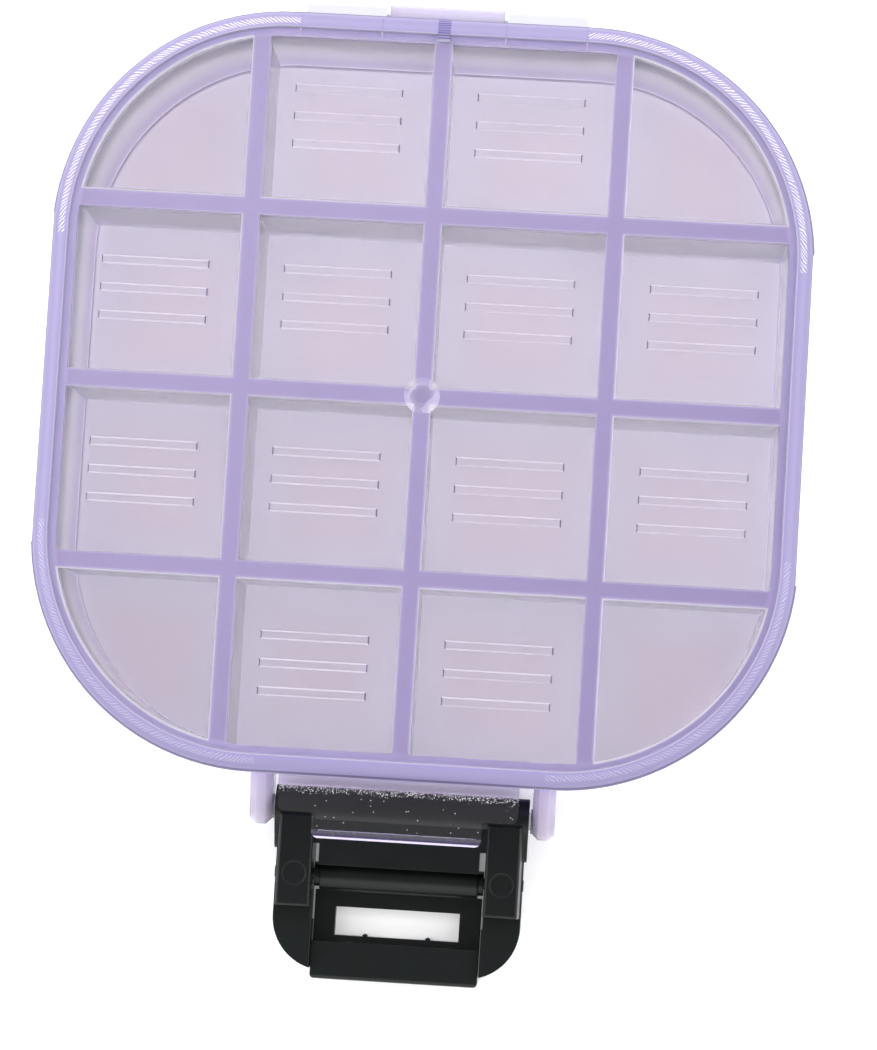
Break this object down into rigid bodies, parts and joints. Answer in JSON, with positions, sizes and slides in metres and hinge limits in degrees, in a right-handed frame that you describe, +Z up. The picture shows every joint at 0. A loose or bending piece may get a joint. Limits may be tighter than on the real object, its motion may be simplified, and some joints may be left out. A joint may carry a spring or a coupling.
{
  "type": "compartment storage box",
  "caption": "Flat square compartment box with rounded corners, a clear hinged lid, a soft lattice seal and a swing-over draw latch at the front.",
  "frame": {"origin": "centre of the tray's flat underside, on the table", "axes": "+X across the box to the right seen from the latch, +Y from the latch to the hinge, +Z up out of the lid"},
  "size_m": [0.0848, 0.1104, 0.0218],
  "materials": {
    "tray_plastic": "see-through lilac moulding, soft gloss",
    "lid_plastic": "clear gloss moulding",
    "seal_rubber": "soft lilac silicone, satin",
    "pin_plastic": "uncoloured moulding",
    "latch_plastic": "black moulding, satin",
    "hook_pin_steel": "dark steel"
  },
  "bodies": {
    "tray_body": {"tray": "tray_plastic", "hinge_pin": "pin_plastic", "latch_pin": "pin_plastic"},
    "lid_body": {"lid": "lid_plastic", "lattice_seal": "seal_rubber"},
    "frame_body": {"latch_frame": "latch_plastic", "hook_pin": "hook_pin_steel"},
    "hook_body": {"latch_hook": "latch_plastic"}
  },
  "joints": [
    {"name": "lid_hinge", "type": "hinge", "parent": "tray_body", "child": "lid_body", "pos_m": [0, 0.04315, 0.0139], "axis": [-1, 0, 0], "range_deg": [0, 175]},
    {"name": "latch_swing", "type": "hinge", "parent": "tray_body", "child": "frame_body", "pos_m": [0, -0.0461, 0.0052], "axis": [-1, 0, 0], "range_deg": [-60, 90]},
    {"name": "hook_swing", "type": "hinge", "parent": "frame_body", "child": "hook_body", "pos_m": [0, -0.0535, 0.0036], "axis": [-1, 0, 0], "range_deg": [-75, 0]}
  ]
}
